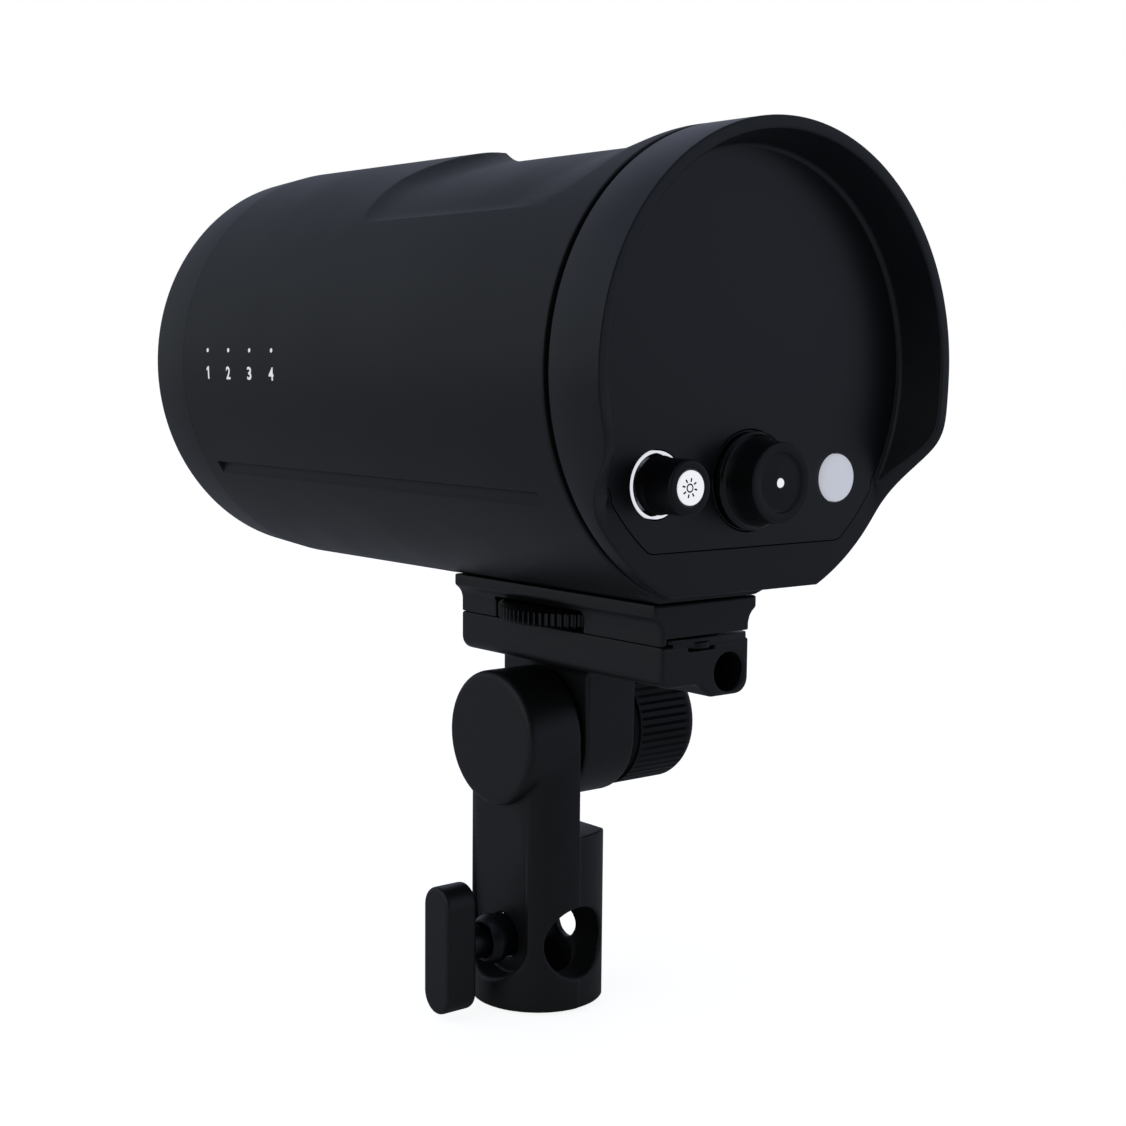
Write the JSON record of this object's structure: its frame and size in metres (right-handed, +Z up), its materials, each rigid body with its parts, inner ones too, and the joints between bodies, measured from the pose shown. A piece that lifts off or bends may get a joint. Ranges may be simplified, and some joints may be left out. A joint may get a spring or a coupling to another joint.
{
  "type": "monolight strobe",
  "caption": "Battery studio flash head: cylindrical casing with a recessed rear control panel and dials, on a tilting stand adapter with an umbrella hole and a clamp screw.",
  "frame": {"origin": "under the middle of the bounding box, level with the stand socket's lower face; the socket axis is at x 0, y 9.3 mm", "axes": "+Z up along the socket axis; the flash fires towards -Y and the control panel faces +Y; +X is the side with the clamp wing"},
  "size_m": [0.1, 0.1766, 0.1994],
  "materials": {
    "casing": "fine matte black",
    "hood": "satin blue-black",
    "adapter_metal": "satin black powder coat",
    "soft_black": "soft-touch black",
    "seal_rubber": "matte",
    "panel_glass": "dark tinted window",
    "white_plastic": "translucent white",
    "frosted_glass": "frosted",
    "quartz": "clear quartz",
    "dark_steel": "black oxide",
    "steel": "bright",
    "brass": "turned",
    "aluminium": "bright",
    "circuit_board": "solder mask",
    "ceramic": "unglazed",
    "cell_sleeve": "shrink sleeve",
    "grey_plastic": "moulded",
    "led_phosphor": "phosphor"
  },
  "bodies": {
    "stand": {"stand_arm": "adapter_metal", "clamp_screw_bush": "adapter_metal", "tilt_friction_disc": "grey_plastic", "tilt_bolt": "steel"},
    "clamp_pad": {"clamp_pad": "brass"},
    "clamp_screw": {"clamp_screw": "dark_steel", "wing_handle": "adapter_metal"},
    "tilt_washer": {"tilt_thrust_washer": "steel"},
    "tilt_knob": {"tilt_knob": "soft_black"},
    "head": {"main_casing": "casing", "front_ring": "casing", "glass_gasket": "seal_rubber", "front_glass": "frosted_glass", "reflector": "aluminium", "flash_tube": "quartz", "flash_tube_base": "ceramic", "led_module": "led_phosphor", "led_lens": "frosted_glass", "led_heatsink": "aluminium", "front_bulkhead": "grey_plastic", "fan_frame": "grey_plastic", "capacitor_left": "cell_sleeve", "capacitor_right": "cell_sleeve", "power_board": "circuit_board", "charger_transformer": "grey_plastic", "tripod_insert": "brass", "battery_bay": "grey_plastic", "battery_contacts": "brass", "rear_housing": "hood", "display_glass": "panel_glass", "display_module": "grey_plastic", "groove_seal": "seal_rubber", "control_board": "circuit_board", "main_encoder": "aluminium", "model_encoder": "aluminium", "test_switch": "grey_plastic", "model_light_ring": "white_plastic", "main_dial_base_ring": "soft_black", "adapter_block": "adapter_metal", "umbrella_plate": "adapter_metal", "umbrella_spring": "steel", "adapter_screw_front": "dark_steel", "adapter_screw_rear": "dark_steel"},
    "thumbwheel": {"thumbwheel": "dark_steel", "tripod_screw": "steel"},
    "fan": {"fan_rotor": "grey_plastic"},
    "main_dial_push": {"main_dial_plunger": "steel"},
    "main_dial": {"main_dial_shaft": "steel", "main_dial_knob": "soft_black", "main_dial_dot": "white_plastic"},
    "model_dial_push": {"model_dial_plunger": "steel"},
    "model_dial": {"model_dial_knob": "soft_black", "model_dial_badge": "white_plastic"},
    "test_button": {"test_button": "white_plastic"},
    "battery": {"battery_case": "casing", "battery_base": "grey_plastic", "battery_cell_1": "cell_sleeve", "battery_cell_2": "cell_sleeve", "battery_cell_3": "cell_sleeve"},
    "battery_latch": {"battery_latch": "soft_black"}
  },
  "joints": [
    {"name": "head_tilt", "type": "hinge", "parent": "stand", "child": "head", "pos_m": [0, 0.0093, 0.0638], "axis": [1, 0, 0], "range_deg": [-90, 90]},
    {"name": "clamp_pad_travel", "type": "slide", "parent": "stand", "child": "clamp_pad", "axis": [-1, 0, 0], "range_m": [-0.00126, 0.00438]},
    {"name": "clamp_screw_turn", "type": "hinge", "parent": "clamp_pad", "child": "clamp_screw", "pos_m": [0.015, 0.0093, 0.0159], "axis": [-1, 0, 0], "range_deg": [-360, 1260]},
    {"name": "tilt_washer_travel", "type": "slide", "parent": "stand", "child": "tilt_washer", "axis": [-1, 0, 0], "range_m": [0, 0.0026]},
    {"name": "tilt_knob_turn", "type": "hinge", "parent": "tilt_washer", "child": "tilt_knob", "pos_m": [-0.025, 0.0093, 0.0638], "axis": [-1, 0, 0], "range_deg": [0, 720]},
    {"name": "thumbwheel_spin", "type": "hinge", "parent": "head", "child": "thumbwheel", "pos_m": [0, 0.0245, 0.0945], "axis": [0, 0, 1], "continuous": true},
    {"name": "fan_spin", "type": "hinge", "parent": "head", "child": "fan", "pos_m": [0, -0.0267, 0.1494], "axis": [0, 1, 0], "continuous": true},
    {"name": "main_dial_press", "type": "slide", "parent": "head", "child": "main_dial_push", "axis": [0, -1, 0], "range_m": [0, 0.0008]},
    {"name": "main_dial_turn", "type": "hinge", "parent": "main_dial_push", "child": "main_dial", "pos_m": [0, 0.0788, 0.1271], "axis": [0, 1, 0], "continuous": true},
    {"name": "model_dial_press", "type": "slide", "parent": "head", "child": "model_dial_push", "axis": [0, -1, 0], "range_m": [0, 0.0008]},
    {"name": "model_dial_turn", "type": "hinge", "parent": "model_dial_push", "child": "model_dial", "pos_m": [0.0256, 0.0788, 0.1271], "axis": [0, 1, 0], "continuous": true},
    {"name": "test_button_press", "type": "slide", "parent": "head", "child": "test_button", "axis": [0, -1, 0], "range_m": [0, 0.0005]},
    {"name": "battery_slide", "type": "slide", "parent": "head", "child": "battery", "axis": [-0.7986, 0, 0.6018], "range_m": [0, 0.045]},
    {"name": "battery_latch_press", "type": "slide", "parent": "battery", "child": "battery_latch", "axis": [1, 0, 0], "range_m": [0, 0.0012]}
  ],
  "couplings": [
    {"joint": "clamp_pad_travel", "follows": "clamp_screw_turn", "m_per_rad": 0.00019894},
    {"joint": "tilt_washer_travel", "follows": "tilt_knob_turn", "m_per_rad": 0.00019894}
  ]
}
